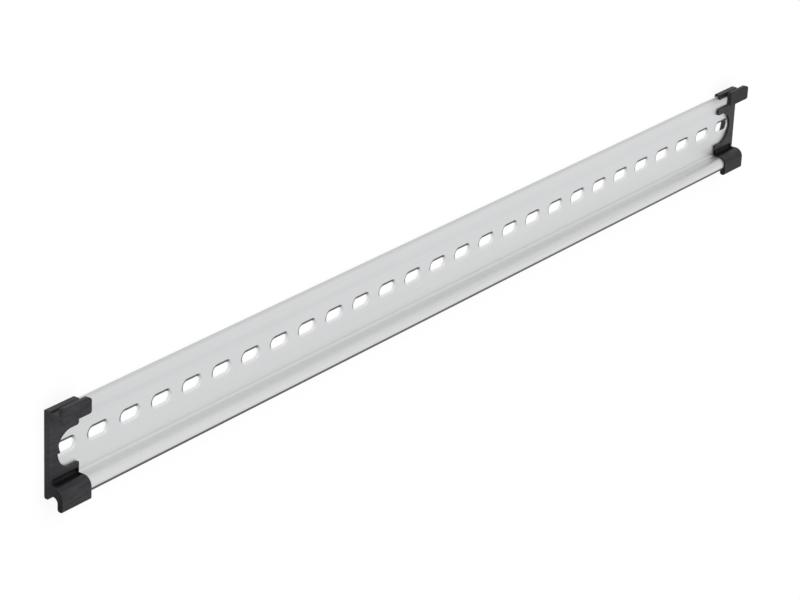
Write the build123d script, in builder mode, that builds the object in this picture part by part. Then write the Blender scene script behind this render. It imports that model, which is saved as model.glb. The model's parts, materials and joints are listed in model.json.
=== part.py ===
"""A slotted metal mounting rail, 482 mm long, with a moulded end bracket on each end.

The rail lies on its back. +X runs along the rail, +Y is the side that faces up when the rail
hangs on a wall, and +Z points out of the rail's front, the side that devices clip to.
The origin is under the middle of the whole piece, at the level of the brackets' back faces.
All sizes are in millimetres. Heights are measured from the rail's lower edge and then shifted,
so that Y = 0 lies midway between the lug's top and the nose's tip.
"""

import os

from build123d import *

os.makedirs("parts", exist_ok=True)

# Whole piece
overall_length = 482.0  # over the outer faces of both end brackets

# Rail: one strip of metal, folded forwards along its lower side
sheet = 1.0  # thickness of the metal
rail_height = 35.0  # from the flange's lower edge to the web's upper edge
rail_depth = 7.5  # from the back of the web to the front of the flange
flange_height = 5.4  # from the flange's lower edge to the shelf's upper side
shelf_bend_inside = 1.2  # inner radius of the fold between the web and the shelf
flange_bend_inside = 2.0  # inner radius of the fold between the shelf and the flange
bead_height = 5.6  # band along the upper edge that stands forward of the web
bead_step = 0.3  # how far that band stands forward
bead_run = 3.0  # height over which the step happens
bead_radius = 20.0  # softness of the step's two bends
edge_rollover = 0.3  # rounding on the front of the web's upper edge
edge_bevel_height = 0.9  # bevel on the front of the flange's lower edge
edge_bevel_depth = 0.5

# Slots in the web
slot_pitch = 17.8
slot_length = 10.0
slot_width = 4.4
slot_drop = 16.4  # from the web's upper edge down to the middle of the slots
slot_end_margin = 2.5  # least metal between the last slot and the rail's end
slot_bevel_width = 0.8  # sunk bevel around the front rims
slot_bevel_depth = 0.45

# End bracket: a plate that sandwiches the rail's end
fit_gap = 0.1  # clearance between the rail and the plastic all round
bracket_width = 15.5  # along the rail, from the outer face to the inner tips
end_wall = 1.5  # plastic beyond the rail's end
back_cover = 0.6  # plastic behind the web
front_cover = 1.1  # plastic in front of the web
top_cover = 0.9  # plastic above the rail's upper edge
hook_edge = 0.5  # rounding along the hook's back
foot_radius = 0.8
foot_thickness = 1.7  # flat underside of the plate, ahead of its back face
foot_rise = 0.6  # the plate's lower end above the rail's lower edge
arch_height = 2.0  # hollow under the shelf, between the foot and the nose

# Nose that wraps the rail's flange
shelf_cover = 0.9  # plastic above the folded shelf
nose_cover = 0.7  # plastic in front of the flange and behind it
nose_drop = 2.7  # how far the nose hangs below the rail's lower edge
nose_tip_radius = 1.0
groove_radius = 1.3  # groove in the corner between the shelf and the plate
groove_depth = 0.7  # how far the groove cuts into the plate's front
groove_sink = 0.4  # how far the groove cuts into the top of the shelf
groove_end = 0.8  # plastic that closes the groove at the inner tip

# Lug above the plate, level with the nose's front
lug_rise = 3.3  # how far the lug stands above the rail's upper edge
lug_height = 6.6
lug_thickness = 2.2
lug_edge = 0.6  # rounding along the front of the lug's top and underside
lug_corner = 1.4  # rounding of the lug's corners
block_height = 3.7  # height of the block that joins the lug to the plate
block_reach = 5.0  # how far that block reaches in from the outer face

# Openings in the plate
lip_height = 1.4  # how far the hook's front lip reaches below the rail's upper edge
upper_window_height = 4.9
upper_window_corner = 1.5
finger_height = 3.0  # bar between the upper window and the round window
finger_rounding = 1.0
tab_height = 4.3  # from the top of the shelf to the round window
window_reach = 4.0  # from the outer face to the round window
back_window_radius = 8.6
back_window_lift = 2.0  # middle of the back opening above that of the round window
back_window_inset = 0.2  # middle of the back opening beyond the inner tips

# Levels above the brackets' back faces
web_back = back_cover + fit_gap
web_middle = web_back + sheet / 2
web_front = web_back + sheet
plate_front = web_front + fit_gap + front_cover
flange_front = web_back + rail_depth
flange_middle = flange_front - sheet / 2
nose_back = flange_front - sheet - fit_gap - nose_cover
nose_front = flange_front + fit_gap + nose_cover
lug_back = nose_front - lug_thickness

# Heights above the rail's lower edge
shelf_middle = flange_height - sheet / 2
shelf_top = flange_height + fit_gap + shelf_cover
hook_top = rail_height + fit_gap + top_cover
lug_top = rail_height + lug_rise
lug_bottom = lug_top - lug_height
block_top = lug_bottom + block_height
lip_bottom = rail_height - lip_height
finger_top = lip_bottom - upper_window_height
window_top = finger_top - finger_height
window_bottom = shelf_top + tab_height
window_middle = (window_top + window_bottom) / 2
slot_row = rail_height - slot_drop
mid_height = (lug_top - nose_drop) / 2

# Lengths and radii that follow
outer_face = overall_length / 2
inner_tips = outer_face - bracket_width
rail_length = overall_length - 2 * (end_wall + fit_gap)
slot_count = int((rail_length - slot_length - 2 * slot_end_margin) // slot_pitch) + 1
shelf_bend_middle = shelf_bend_inside + sheet / 2
flange_bend_middle = flange_bend_inside + sheet / 2
nose_radius = flange_bend_inside + sheet + fit_gap + nose_cover
window_radius = (window_top - window_bottom) / 2


def section_point(height, level):
    """A point of a cross-section: height above the rail's lower edge, and level Z."""
    return (height - mid_height, level)


def plate_point(inwards, height):
    """A point of the left bracket's plate, seen from the front: distance in, and height."""
    return (inwards - outer_face, height - mid_height)


def fold_line(overrun):
    """The middle of the rail's sheet from flange edge to upper edge, run on past both."""
    FilletPolyline(
        section_point(-overrun, flange_middle),
        section_point(shelf_middle, flange_middle),
        section_point(shelf_middle, web_middle),
        section_point(rail_height - bead_height - bead_run, web_middle),
        section_point(rail_height - bead_height, web_middle + bead_step),
        section_point(rail_height + overrun, web_middle + bead_step),
        radius=(flange_bend_middle, shelf_bend_middle, bead_radius, bead_radius),
    )


# Rail
with BuildPart() as rail:
    with BuildSketch(Plane.YZ.offset(-rail_length / 2)):
        with BuildLine():
            fold_line(overrun=0)
        trace(line_width=sheet)
    extrude(amount=rail_length)
    edges_by_height = rail.edges().filter_by(Axis.X).group_by(Axis.Y)
    fillet(edges_by_height[-1].sort_by(Axis.Z)[-1], radius=edge_rollover)
    chamfer(
        edges_by_height[0].sort_by(Axis.Z)[-1],
        length=edge_bevel_depth,
        length2=edge_bevel_height,
        reference=rail.faces().sort_by(Axis.Y)[0],
    )

    with BuildSketch():
        with Locations((0, slot_row - mid_height)):
            with GridLocations(slot_pitch, 0, slot_count, 1):
                SlotOverall(slot_length, slot_width)
    extrude(amount=flange_front, mode=Mode.SUBTRACT)
    web_front_face = (
        rail.faces().filter_by(Axis.Z).sort_by(SortBy.AREA)[-2:].sort_by(Axis.Z)[-1]
    )
    chamfer(
        web_front_face.inner_wires().edges(),
        length=slot_bevel_width,
        length2=slot_bevel_depth,
        reference=web_front_face,
    )


# Left end bracket
with BuildPart() as end_bracket_left:
    with BuildSketch(Plane.YZ.offset(-outer_face)) as outline:
        with BuildLine():
            plate = Polyline(
                section_point(shelf_top, plate_front),
                section_point(hook_top, plate_front),
                section_point(hook_top, 0),
                section_point(foot_rise, 0),
                section_point(foot_rise, foot_thickness),
            )
            arch = ThreePointArc(
                plate @ 1,
                section_point(foot_rise + arch_height, (foot_thickness + nose_back) / 2),
                section_point(foot_rise, nose_back),
            )
            nose = Polyline(
                arch @ 1,
                section_point(-nose_drop, nose_back),
                section_point(-nose_drop, nose_front),
                section_point(shelf_top - nose_radius, nose_front),
            )
            nose_round = RadiusArc(
                nose @ 1, section_point(shelf_top, nose_front - nose_radius), nose_radius
            )
            Line(nose_round @ 1, plate @ 0)
        make_face()
        with BuildLine():
            Polyline(
                section_point(lug_bottom, web_front),
                section_point(lug_bottom, nose_front),
                section_point(lug_top, nose_front),
                section_point(lug_top, lug_back),
                section_point(block_top, lug_back),
                section_point(block_top, web_front),
                close=True,
            )
        make_face()
        fillet(outline.vertices().group_by(Axis.X)[0], radius=nose_tip_radius)
        fillet(outline.vertices().group_by(Axis.Y)[-1].sort_by(Axis.X)[-2:], radius=lug_edge)
        fillet(outline.vertices().group_by(Axis.Y)[0].sort_by(Axis.X)[0], radius=foot_radius)
        fillet(outline.vertices().group_by(Axis.Y)[0].sort_by(Axis.X)[-1], radius=hook_edge)
    extrude(amount=bracket_width)

    # Groove behind the nose, closed at both ends
    inside_end_wall = Plane.YZ.offset(end_wall - outer_face)
    with BuildSketch(inside_end_wall):
        with Locations(
            section_point(
                shelf_top - groove_sink + groove_radius,
                plate_front - groove_depth + groove_radius,
            )
        ):
            Circle(groove_radius)
    extrude(amount=bracket_width - end_wall - groove_end, mode=Mode.SUBTRACT)

    # Pocket that the rail slides into
    with BuildSketch(inside_end_wall):
        with BuildLine():
            fold_line(overrun=fit_gap)
        trace(line_width=sheet + 2 * fit_gap)
    extrude(amount=bracket_width - end_wall, mode=Mode.SUBTRACT)

    # Round window and upper window, through the plastic in front of the web
    with BuildSketch(Plane.XY.offset(web_middle)):
        with Locations(plate_point(window_reach + window_radius, window_middle)):
            Circle(window_radius)
            Rectangle(bracket_width, 2 * window_radius, align=(Align.MIN, Align.CENTER))
        with Locations(plate_point(block_reach, finger_top)):
            RectangleRounded(
                bracket_width,
                upper_window_height,
                upper_window_corner,
                align=(Align.MIN, Align.MIN),
            )
    extrude(amount=plate_front - web_middle, mode=Mode.SUBTRACT)

    # Gap between the hook and the free part of the lug
    with BuildSketch(Plane.XY.offset(plate_front)):
        with Locations(plate_point(block_reach, finger_top)):
            Rectangle(bracket_width, lug_top - finger_top, align=(Align.MIN, Align.MIN))
    extrude(amount=lug_back - plate_front, mode=Mode.SUBTRACT)

    # Round opening through the plastic behind the web
    with BuildSketch():
        with Locations(
            plate_point(bracket_width + back_window_inset, window_middle + back_window_lift)
        ):
            Circle(back_window_radius)
    extrude(amount=web_middle, mode=Mode.SUBTRACT)

    # Rounding of the lug's corners
    with BuildSketch(Plane.XY.offset(plate_front)):
        with Locations(plate_point(0, lug_bottom)):
            Rectangle(bracket_width, lug_height, align=(Align.MIN, Align.MIN))
            RectangleRounded(
                bracket_width,
                lug_height,
                lug_corner,
                align=(Align.MIN, Align.MIN),
                mode=Mode.SUBTRACT,
            )
    extrude(amount=nose_front - plate_front, mode=Mode.SUBTRACT)

    # Round tip of the finger between the two windows
    tip_edges = end_bracket_left.edges().filter_by(Axis.Z).group_by(Axis.X)[-1]
    finger_corners = tip_edges.filter_by_position(
        Axis.Y, window_top - fit_gap - mid_height, finger_top + fit_gap - mid_height
    )
    fillet(finger_corners, radius=finger_rounding)


# Right end bracket, the left one's mirror image
with BuildPart() as end_bracket_right:
    mirror(end_bracket_left.part, about=Plane.YZ)


rail.part.label = "rail"
end_bracket_left.part.label = "end_bracket_left"
end_bracket_right.part.label = "end_bracket_right"
export_step(rail.part, "parts/rail.step")
export_step(end_bracket_left.part, "parts/end_bracket_left.step")
export_step(end_bracket_right.part, "parts/end_bracket_right.step")
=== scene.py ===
"""The look of a slotted metal mounting rail with a black moulded bracket on each end.

The rail lies on its back on a white floor. The picture is taken from beside its left end, with
the rail's +Y side up in the frame, so the floor behind the rail looks like a white backdrop.
Lengths are in metres unless a name says otherwise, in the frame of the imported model.
"""

import json
import math

import bpy
from mathutils import Matrix, Vector

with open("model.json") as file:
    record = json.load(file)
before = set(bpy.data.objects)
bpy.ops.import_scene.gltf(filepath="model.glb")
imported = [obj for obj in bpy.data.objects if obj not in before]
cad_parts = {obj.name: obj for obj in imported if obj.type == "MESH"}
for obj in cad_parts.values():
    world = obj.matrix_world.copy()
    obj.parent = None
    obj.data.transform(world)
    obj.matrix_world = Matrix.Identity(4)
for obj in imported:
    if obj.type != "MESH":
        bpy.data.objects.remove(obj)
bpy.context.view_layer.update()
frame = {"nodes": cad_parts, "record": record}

# Camera
CAMERA_PLACE = Vector((-0.9802, 0.4852, 0.6718))
CAMERA_AIM = Vector((-0.0127, -0.0140, -0.0079))
CAMERA_ROLL = math.radians(2.66)
PICTURE_UP = Vector((0.0, 1.0, 0.0))
LENS_MM = 138.4
SENSOR_MM = 36.0

# Colours, as linear values
WHITE = (1.0, 1.0, 1.0)
METAL = (0.806, 0.811, 0.817)
METAL_DULL = (0.763, 0.768, 0.775)
# Painted light on the shelf and flange, painted shade in the fold, on the far bend and on the rolled
# upper edge
SHELF_PAINTED_LIGHT = (0.816, 0.822, 0.820)
FOLD_PAINTED_SHADE = (0.755, 0.761, 0.760)
FAR_BEND_PAINTED_SHADE = (0.740, 0.744, 0.747)
FLANGE_PAINTED_LIGHT = (0.804, 0.809, 0.813)
ROLLED_EDGE_PAINTED_SHADE = (0.700, 0.705, 0.710)
# Slot rims: the cut metal's own paler tone, with painted light on their walls
CUT_RIM_AND_PAINTED_LIGHT = (0.900, 0.905, 0.910)
# Painted shade on the upper left of each slot bevel and along the flange's lower edge
EDGE_PAINTED_SHADE = (0.120, 0.122, 0.126)
PLASTIC = (0.0110, 0.0112, 0.0130)
PLASTIC_RUBBED = (0.0420, 0.0427, 0.0475)
# Painted shade on the lug and nose that stand forward, more at the far end
FORWARD_PAINTED_SHADE = (0.0060, 0.0061, 0.0075)
# Paler convex edges: worn plastic and a painted highlight
PLASTIC_WEAR_AND_HIGHLIGHT = (0.075, 0.076, 0.081)
# Painted shade in the groove behind each nose
RECESS_PAINTED_SHADE = (0.001, 0.001, 0.001)

# Metal: stretch of its noises along the axes, and its finish
ROLLING_STRETCH = (6.0, 900.0, 900.0)
METAL_PATCH_STRETCH = (25.0, 90.0, 90.0)
ROLLING_SHARE = 0.6
METAL_PATCH_SHARE = 0.4
METAL_SPREAD = (0.35, 0.65)
METAL_GLOSS_SPREAD = (0.3, 0.7)
METAL_ROUGHNESS = 0.46
METAL_ROUGHNESS_GAIN = 0.10
METAL_ROUNDING = 0.0002
METAL_BUMP = 0.12
METAL_BUMP_DEPTH = 0.00002

# Plastic: stretch of its noises along the axes, and its finish
GRAIN_STRETCH = (2600.0, 2600.0, 2600.0)
PLASTIC_PATCH_STRETCH = (140.0, 140.0, 140.0)
STREAK_STRETCH = (130.0, 800.0, 800.0)
PLASTIC_PATCH_SHARE = 0.5
STREAK_SHARE = 0.5
PLASTIC_SPREAD = (0.36, 0.66)
PLASTIC_ROUGHNESS = 0.40
PLASTIC_ROUGHNESS_GAIN = 0.12
PLASTIC_ROUNDING = 0.0004
PLASTIC_BUMP = 0.18
PLASTIC_BUMP_DEPTH = 0.00003
PLASTIC_SHEEN = 0.26

# Rail: where its tone and painted light and shade change, with heights along Y, levels along Z and
# ends along X
RAIL_END = 0.24
FOLD_TOP = -0.0100
FOLD_FADE = 0.0040
FOLD_INSIDE = -0.0110
FOLD_INSIDE_FADE = 0.0004
FOLD_LEVEL = 0.0022
FOLD_LEVEL_FADE = 0.0006
SHELF_LEVEL = 0.0045
BEND_LEVEL = 0.0065
FLANGE_HEIGHT = -0.0152
FLANGE_FADE = 0.0015
FLANGE_LEVEL = 0.0082
FLANGE_LEVEL_FADE = 0.0004
LOWER_EDGE = -0.0165
LOWER_EDGE_FADE = 0.0002
LOWER_EDGE_DEPTHS = (0.0014, 0.0010)
LOWER_EDGE_SHARE = 0.91
ROLLED_HEIGHT = 0.0158
ROLLED_FADE = 0.0008
WEB_BACK = 0.0007
WEB_BACK_FADE = 0.0001
WEB_FRONT = 0.0017

# Slots, as the record states them, and the rim and bevel round each, with painted light and shade
MM_PER_METRE = 1000
PITCHES_IN_PAIR = 4
SLOTS = frame["record"]["mounts"][0]
SLOT_HEIGHT = SLOTS["pos_m"][1]
SLOT_RADIUS = SLOTS["dims"]["hole_r_mm"] / MM_PER_METRE
SLOT_LENGTH = SLOTS["dims"]["slot_length_mm"] / MM_PER_METRE
SLOT_PITCH = SLOTS["dims"]["spacing_x_mm"] / PITCHES_IN_PAIR / MM_PER_METRE
SLOT_RIM = 0.0008
SLOT_BEVEL_REACH = 0.0002
SLOT_BEVEL_FADE = 0.00045
SLOT_BEVEL_DEPTHS = (0.0006, 0.0004)
SLOT_DARK_WAY = (-0.6, 0.8, 0.0)
SLOT_DARK_SPREAD = (0.10, 0.60)

# Brackets: edges paler from wear and a painted highlight, painted shade on the lug and nose that
# stand forward and in the groove behind the nose
WEAR_HIGHLIGHT_TURN = (0.99, 0.85)
WEAR_HIGHLIGHT_OPEN = (0.65, 0.90)
WEAR_HIGHLIGHT_REACH = 0.0008
FORWARD_LEVEL = 0.0085
FORWARD_FADE = 0.0015
FORWARD_START = -0.32
FORWARD_SHARE = 0.65
FORWARD_DULL = 0.55
RECESS_HEIGHT = -0.0106
RECESS_LEVEL = 0.0038
RECESS_REACH = 0.0014
RECESS_FADE = 0.0005
RECESS_END = 0.2394

# Floor
FLOOR_REACH = 6.0
FLOOR_DROP = 0.0002
FLOOR_GLOW = 0.87
FLOOR_SHADE = (0.16, 0.16, 0.16)
FLOOR_MATTE = (0.80, 0.80, 0.80)
# The floor as the piece reflects it: a painted reflection, dark below the rail and light above
REFLECTION_PAINTED_DARK = (0.16, 0.16, 0.16)
REFLECTION_PAINTED_LIGHT = (0.88, 0.88, 0.88)
PAINTED_REFLECTION_EDGE = -0.022
PAINTED_REFLECTION_FADE = 0.018

# Light: strengths of the world, with the directions between which they change
WORLD_BOTTOM = 0.30
WORLD_MIDDLE = 0.93
WORLD_TOP = 0.84
WORLD_SIDE = 0.72
BOTTOM_WAYS = (-0.95, -0.45)
TOP_WAYS = (-0.2, 0.6)
SIDE_WAYS = (-1.0, 0.0)
KEY_PLACE = (-0.5, 1.1, 1.2)
KEY_AIM = (0.0, 0.0, 0.0)
KEY_SIZE = 0.9
KEY_WATTS = 3.0

# Nodes: the Mix node's sockets for its share and colours, and the samples of soft effects
MIX_INPUTS = (0, 6, 7)
MIX_OUTPUT = 2
SOFT_SAMPLES = {"samples": 8}


class Nodes:
    """A material's or the world's node tree, built from short calls."""

    def __init__(self, tree):
        self.tree = tree
        tree.nodes.clear()

    def add(self, kind, settings=None, **inputs):
        """A new node; an input's name has an underscore for each space."""
        node = self.tree.nodes.new("ShaderNode" + kind)
        for name, value in (settings or {}).items():
            setattr(node, name, value)
        for name, value in inputs.items():
            self.put(node, name.replace("_", " "), value)
        return node

    def put(self, node, name, value):
        """Link or set one input. A colour comes without its alpha."""
        socket = node.inputs[name]
        if isinstance(value, bpy.types.NodeSocket):
            self.tree.links.new(value, socket)
        elif socket.type == "RGBA":
            socket.default_value = (*value, 1.0)
        else:
            socket.default_value = value

    def fill(self, node, *values):
        """Put values on the node's first inputs, in their order."""
        for index, value in enumerate(values):
            self.put(node, index, value)
        return node

    def compute(self, operation, *values):
        node = self.add("Math", {"operation": operation})
        return self.fill(node, *values).outputs[0]

    def times(self, first, second):
        return self.compute("MULTIPLY", first, second)

    def scaled(self, value, factor, offset):
        return self.compute("MULTIPLY_ADD", value, factor, offset)

    def dot(self, first, second):
        node = self.add("VectorMath", {"operation": "DOT_PRODUCT"})
        return self.fill(node, first, second).outputs["Value"]

    def ramp(self, value, low, high):
        """0 at low, 1 at high and even between them. Low may be the larger of the two."""
        node = self.add("MapRange", {"clamp": True}, Value=value, From_Min=low, From_Max=high)
        return node.outputs["Result"]

    def blend(self, share, first, second):
        """The first colour where the share is 0 and the second where it is 1."""
        node = self.add("Mix", {"data_type": "RGBA"})
        for index, value in zip(MIX_INPUTS, (share, first, second)):
            self.put(node, index, value)
        return node.outputs[MIX_OUTPUT]

    def axes(self, vector):
        return self.add("SeparateXYZ", Vector=vector).outputs

    def point(self):
        """The shaded point in the piece's own coordinates."""
        return self.add("TexCoord").outputs["Object"]

    def noise(self, stretch, detail):
        vector = self.add("Mapping", Vector=self.point(), Scale=stretch).outputs["Vector"]
        return self.add("TexNoise", Vector=vector, Scale=1.0, Detail=detail).outputs["Fac"]

    def rounded(self, radius):
        """The surface's normal, turned smoothly over edges."""
        return self.add("Bevel", SOFT_SAMPLES, Radius=radius).outputs[0]

    def mixed(self, share, first, second):
        """One shader where the share is 0 and another where it is 1."""
        return self.fill(self.add("MixShader"), share, first, second).outputs[0]

    def finish(self, kind, surface):
        self.put(self.add(kind), "Surface", surface)


def material(name):
    made = bpy.data.materials.new(name)
    made.use_nodes = True
    return made, Nodes(made.node_tree)


def fold_tones(nodes, where, colour):
    """Painted light on the shelf and flange; painted shade in the fold, on the far bend and on the
    upper edge.
    """
    low = nodes.ramp(where["Y"], FOLD_TOP + FOLD_FADE, FOLD_TOP)
    shelf = nodes.times(low, nodes.ramp(where["Z"], BEND_LEVEL, SHELF_LEVEL))
    inside = nodes.times(nodes.ramp(where["Y"], FOLD_INSIDE + FOLD_INSIDE_FADE, FOLD_INSIDE),
                         nodes.ramp(where["Z"], FOLD_LEVEL + FOLD_LEVEL_FADE, FOLD_LEVEL))
    bend = nodes.times(low, nodes.ramp(where["Z"], SHELF_LEVEL, BEND_LEVEL))
    far_bend = nodes.times(bend, nodes.ramp(where["X"], -RAIL_END, RAIL_END))
    flange = nodes.times(nodes.ramp(where["Y"], FLANGE_HEIGHT + FLANGE_FADE, FLANGE_HEIGHT),
                         nodes.ramp(where["Z"], FLANGE_LEVEL - FLANGE_LEVEL_FADE, FLANGE_LEVEL))
    rolled = nodes.ramp(where["Y"], ROLLED_HEIGHT, ROLLED_HEIGHT + ROLLED_FADE)
    tones = ((shelf, SHELF_PAINTED_LIGHT), (inside, FOLD_PAINTED_SHADE), (far_bend, FAR_BEND_PAINTED_SHADE),
             (flange, FLANGE_PAINTED_LIGHT), (rolled, ROLLED_EDGE_PAINTED_SHADE))
    for share, tone in tones:
        colour = nodes.blend(share, colour, tone)
    return colour


def slot_edge(nodes, where):
    """A point's distance from the nearest slot's edge, and how far it lies to its shaded side."""
    along = nodes.compute("WRAP", where["X"], SLOT_PITCH / 2, -SLOT_PITCH / 2)
    straight = SLOT_LENGTH / 2 - SLOT_RADIUS
    held = nodes.add("Clamp", Value=along, Min=-straight, Max=straight).outputs[0]
    beside = nodes.add("CombineXYZ", X=nodes.compute("SUBTRACT", along, held),
                       Y=nodes.compute("SUBTRACT", where["Y"], SLOT_HEIGHT)).outputs[0]
    away = nodes.compute("SQRT", nodes.dot(beside, beside))
    side = nodes.compute("DIVIDE", nodes.dot(beside, SLOT_DARK_WAY), away)
    return nodes.compute("SUBTRACT", away, SLOT_RADIUS), side


def edge_tones(nodes, where, colour):
    """Slot rims paler from cut metal and painted light; painted shade on each bevel's upper left and
    the flange's lower edge.
    """
    distance, side = slot_edge(nodes, where)
    # Slot rims: the cut metal's paler tone and painted light
    rim = nodes.times(nodes.ramp(where["Z"], WEB_BACK, WEB_BACK + WEB_BACK_FADE),
                      nodes.ramp(distance, SLOT_RIM, 0.0))
    colour = nodes.blend(rim, colour, CUT_RIM_AND_PAINTED_LIGHT)

    # Painted shade on the upper left of each bevel and along the flange's lower edge
    deep, shallow = SLOT_BEVEL_DEPTHS
    bevel = nodes.times(nodes.ramp(where["Z"], WEB_FRONT - deep, WEB_FRONT - shallow),
                        nodes.ramp(distance, SLOT_RIM + SLOT_BEVEL_FADE, SLOT_RIM + SLOT_BEVEL_REACH))
    shaded = nodes.times(bevel, nodes.ramp(side, *SLOT_DARK_SPREAD))
    deep, shallow = LOWER_EDGE_DEPTHS
    lower = nodes.times(nodes.ramp(where["Y"], LOWER_EDGE + LOWER_EDGE_FADE, LOWER_EDGE),
                        nodes.ramp(where["Z"], FLANGE_LEVEL - deep, FLANGE_LEVEL - shallow))
    lower = nodes.times(lower, LOWER_EDGE_SHARE)
    return nodes.blend(nodes.compute("MAXIMUM", lower, shaded), colour, EDGE_PAINTED_SHADE)


def rail_metal():
    """Satin sheet metal with fine rolling lines along the rail, and painted light and shade on folds
    and edges.
    """
    made, nodes = material("rail_metal")
    lines = nodes.noise(ROLLING_STRETCH, detail=3.0)
    patches = nodes.noise(METAL_PATCH_STRETCH, detail=2.0)
    shade = nodes.compute("ADD", nodes.times(lines, ROLLING_SHARE),
                          nodes.times(patches, METAL_PATCH_SHARE))
    colour = nodes.blend(nodes.ramp(shade, *METAL_SPREAD), METAL_DULL, METAL)
    where = nodes.axes(nodes.point())
    colour = fold_tones(nodes, where, colour)
    colour = edge_tones(nodes, where, colour)

    roughness = nodes.scaled(nodes.ramp(shade, *METAL_GLOSS_SPREAD),
                             METAL_ROUGHNESS_GAIN, METAL_ROUGHNESS)
    bump = nodes.add("Bump", Strength=METAL_BUMP, Distance=METAL_BUMP_DEPTH, Height=lines,
                     Normal=nodes.rounded(METAL_ROUNDING))
    shader = nodes.add("BsdfPrincipled", Base_Color=colour, Metallic=1.0, Roughness=roughness,
                       Normal=bump.outputs[0])
    nodes.finish("OutputMaterial", shader.outputs[0])
    return made


def groove(nodes, where):
    """1 in the groove behind each nose, as far as its closed ends, and 0 outside it."""
    height = nodes.compute("SUBTRACT", where["Y"], RECESS_HEIGHT)
    level = nodes.compute("SUBTRACT", where["Z"], RECESS_LEVEL)
    squares = nodes.compute("ADD", nodes.compute("POWER", height, 2.0),
                            nodes.compute("POWER", level, 2.0))
    away = nodes.compute("SQRT", squares)
    along = nodes.compute("ABSOLUTE", where["X"])
    return nodes.times(nodes.ramp(away, RECESS_REACH + RECESS_FADE, RECESS_REACH),
                       nodes.ramp(along, RECESS_END + RECESS_FADE, RECESS_END))


def bracket_plastic():
    """Charcoal moulded plastic with a fine grain, faint streaks and edges paler from wear and a
    painted highlight.

    The lug and nose are rougher and carry painted shade, more at the far end; the groove has painted
    shade.
    """
    made, nodes = material("bracket_plastic")
    grain = nodes.noise(GRAIN_STRETCH, detail=2.0)
    patches = nodes.noise(PLASTIC_PATCH_STRETCH, detail=3.0)
    streaks = nodes.noise(STREAK_STRETCH, detail=3.0)
    rubbed = nodes.compute("ADD", nodes.times(patches, PLASTIC_PATCH_SHARE),
                           nodes.times(streaks, STREAK_SHARE))
    colour = nodes.blend(nodes.ramp(rubbed, *PLASTIC_SPREAD), PLASTIC, PLASTIC_RUBBED)

    where = nodes.axes(nodes.point())
    # Painted shade on the parts that stand forward, more at the far end
    forward = nodes.times(nodes.ramp(where["Z"], FORWARD_LEVEL - FORWARD_FADE, FORWARD_LEVEL),
                          nodes.ramp(where["X"], FORWARD_START, RAIL_END))
    colour = nodes.blend(nodes.times(forward, FORWARD_SHARE), colour, FORWARD_PAINTED_SHADE)

    # Paler convex edges, from wear and a painted highlight
    flat = nodes.add("NewGeometry").outputs["Normal"]
    rounded = nodes.rounded(PLASTIC_ROUNDING)
    open_air = nodes.add("AmbientOcclusion", SOFT_SAMPLES, Distance=WEAR_HIGHLIGHT_REACH).outputs["AO"]
    wear_and_highlight = nodes.times(nodes.ramp(nodes.dot(flat, rounded), *WEAR_HIGHLIGHT_TURN),
                       nodes.ramp(open_air, *WEAR_HIGHLIGHT_OPEN))
    colour = nodes.blend(wear_and_highlight, colour, PLASTIC_WEAR_AND_HIGHLIGHT)
    # Painted shade in the groove behind each nose
    recess = groove(nodes, where)
    colour = nodes.blend(recess, colour, RECESS_PAINTED_SHADE)

    roughness = nodes.scaled(patches, PLASTIC_ROUGHNESS_GAIN, PLASTIC_ROUGHNESS)
    dull = nodes.compute("MAXIMUM", recess, nodes.times(forward, FORWARD_DULL))
    roughness = nodes.compute("MAXIMUM", roughness, dull)
    bump = nodes.add("Bump", Strength=PLASTIC_BUMP, Distance=PLASTIC_BUMP_DEPTH, Height=grain,
                     Normal=rounded)
    shader = nodes.add("BsdfPrincipled", Base_Color=colour, Roughness=roughness,
                       Specular_IOR_Level=PLASTIC_SHEEN, Normal=bump.outputs[0])
    nodes.finish("OutputMaterial", shader.outputs[0])
    return made


def floor_white():
    """White to the camera, with a faint shadow. Its reflection in the piece is painted, dark below
    the rail and light above.
    """
    made, nodes = material("floor_white")
    matte = nodes.add("BsdfDiffuse", Color=FLOOR_MATTE)
    glow = nodes.add("Emission", Color=WHITE, Strength=FLOOR_GLOW)
    shaded = nodes.add("BsdfDiffuse", Color=FLOOR_SHADE)
    seen = nodes.fill(nodes.add("AddShader"), glow.outputs[0], shaded.outputs[0])
    # Painted reflection: dark below the rail, light above it
    across = nodes.axes(nodes.point())["Y"]
    painted_reflection = nodes.blend(nodes.ramp(across, PAINTED_REFLECTION_EDGE, PAINTED_REFLECTION_EDGE + PAINTED_REFLECTION_FADE), REFLECTION_PAINTED_DARK, REFLECTION_PAINTED_LIGHT)
    mirrored = nodes.add("Emission", Color=painted_reflection, Strength=1.0)
    path = nodes.add("LightPath").outputs
    unseen = nodes.mixed(path["Is Glossy Ray"], matte.outputs[0], mirrored.outputs[0])
    nodes.finish("OutputMaterial", nodes.mixed(path["Is Camera Ray"], unseen, seen.outputs[0]))
    return made


def add_floor():
    mesh = bpy.data.meshes.new("floor")
    reach = FLOOR_REACH
    corners = [(-reach, -reach), (reach, -reach), (reach, reach), (-reach, reach)]
    mesh.from_pydata([(x, y, -FLOOR_DROP) for x, y in corners], [], [(0, 1, 2, 3)])
    mesh.materials.append(floor_white())
    floor = bpy.data.objects.new("floor", mesh)
    bpy.context.scene.collection.objects.link(floor)


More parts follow.
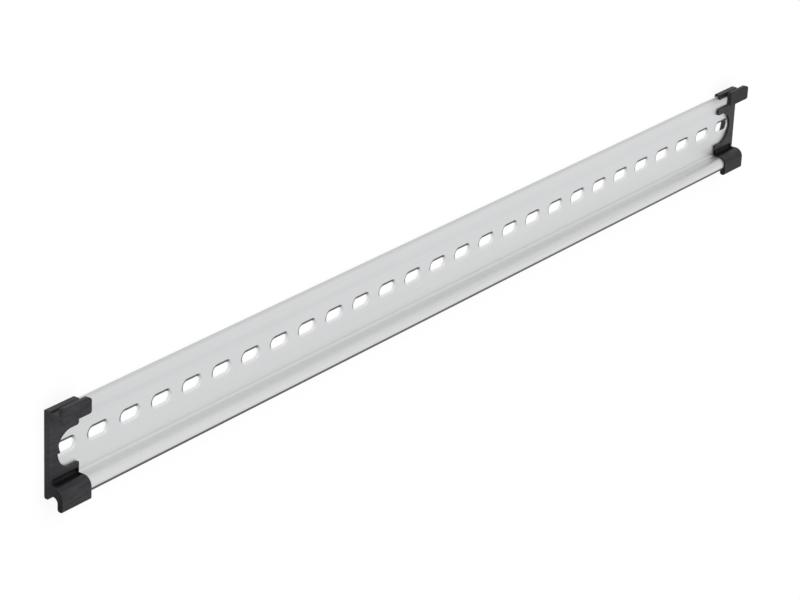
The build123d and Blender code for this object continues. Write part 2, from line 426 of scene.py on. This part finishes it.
def add_world():
    """Studio light from all round, dimmest from the -Y side, less bright from +Y and -X too."""
    world = bpy.data.worlds.new("studio")
    world.use_nodes = True
    bpy.context.scene.world = world
    nodes = Nodes(world.node_tree)
    way = nodes.axes(nodes.add("TexCoord").outputs["Generated"])
    strength = nodes.scaled(nodes.ramp(way["Y"], *BOTTOM_WAYS),
                            WORLD_MIDDLE - WORLD_BOTTOM, WORLD_BOTTOM)
    strength = nodes.scaled(nodes.ramp(way["Y"], *TOP_WAYS), WORLD_TOP - WORLD_MIDDLE, strength)
    side = nodes.scaled(nodes.ramp(way["X"], *SIDE_WAYS), 1.0 - WORLD_SIDE, WORLD_SIDE)
    light = nodes.add("Background", Color=WHITE, Strength=nodes.times(strength, side))
    nodes.finish("OutputWorld", light.outputs[0])


def add_lamp(name, place, aim, size, watts):
    data = bpy.data.lights.new(name, "AREA")
    data.size = size
    data.energy = watts
    lamp = bpy.data.objects.new(name, data)
    lamp.location = place
    lamp.rotation_euler = (Vector(aim) - Vector(place)).to_track_quat("-Z", "Y").to_euler()
    bpy.context.scene.collection.objects.link(lamp)


def add_camera():
    """The camera, turned so that the rail's +Y side is up before its small roll."""
    back = (CAMERA_PLACE - CAMERA_AIM).normalized()
    right = PICTURE_UP.cross(back).normalized()
    up = back.cross(right)
    turn = Matrix((right, up, back)).transposed().to_4x4()
    data = bpy.data.cameras.new("camera")
    data.lens = LENS_MM
    data.sensor_width = SENSOR_MM
    camera = bpy.data.objects.new("camera", data)
    camera.matrix_world = (
        Matrix.Translation(CAMERA_PLACE) @ turn @ Matrix.Rotation(CAMERA_ROLL, 4, "Z")
    )
    bpy.context.scene.collection.objects.link(camera)
    bpy.context.scene.camera = camera


finishes = {
    "rail": rail_metal(),
    "end_bracket_left": bracket_plastic(),
}
finishes["end_bracket_right"] = finishes["end_bracket_left"]
for name, finish in finishes.items():
    for slot in frame["nodes"][name].material_slots:
        slot.material = finish

add_floor()
add_world()
add_lamp("key", KEY_PLACE, KEY_AIM, KEY_SIZE, KEY_WATTS)
add_camera()
bpy.context.scene.view_settings.view_transform = "Standard"
